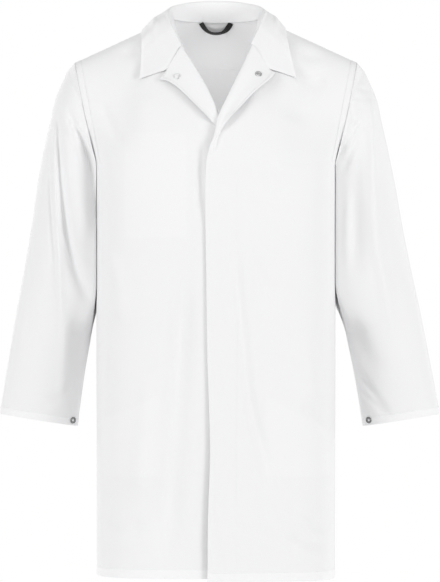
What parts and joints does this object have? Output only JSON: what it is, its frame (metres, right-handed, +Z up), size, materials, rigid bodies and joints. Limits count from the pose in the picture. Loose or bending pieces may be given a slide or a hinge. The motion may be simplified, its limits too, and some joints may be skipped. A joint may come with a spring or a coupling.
{
  "type": "dust coat",
  "caption": "Knee-length white work coat with a notched collar, covered snap front, long sleeves and inner pockets, filled out as if worn.",
  "frame": {"origin": "midway between the two side-neck points, where the wearer's shoulders carry the coat", "axes": "+Z up along the body, the front faces -Y, +X towards the wearer's left"},
  "size_m": [0.8007, 0.2841, 1.0487],
  "materials": {
    "white_cotton": "matt plain-weave poly-cotton, white",
    "black_tape": "matt woven tape, black",
    "snap_steel": "bright pressed metal",
    "snap_dark": "dark pressed metal"
  },
  "bodies": {
    "root": {"front_right": "white_cotton", "front_left": "white_cotton", "back": "white_cotton", "back_yoke": "white_cotton", "sleeve_right": "white_cotton", "sleeve_left": "white_cotton", "collar": "white_cotton", "lapel_right": "white_cotton", "lapel_left": "white_cotton", "fly_strip": "white_cotton", "pocket_chest": "white_cotton", "pocket_lower_right": "white_cotton", "pocket_lower_left": "white_cotton", "neck_label": "white_cotton", "hanger_loop": "black_tape", "lapel_ring": "snap_steel", "cuff_snap_right": "snap_steel", "cuff_snap_left": "snap_steel", "lapel_stud": "snap_dark"}
  },
  "joints": []
}
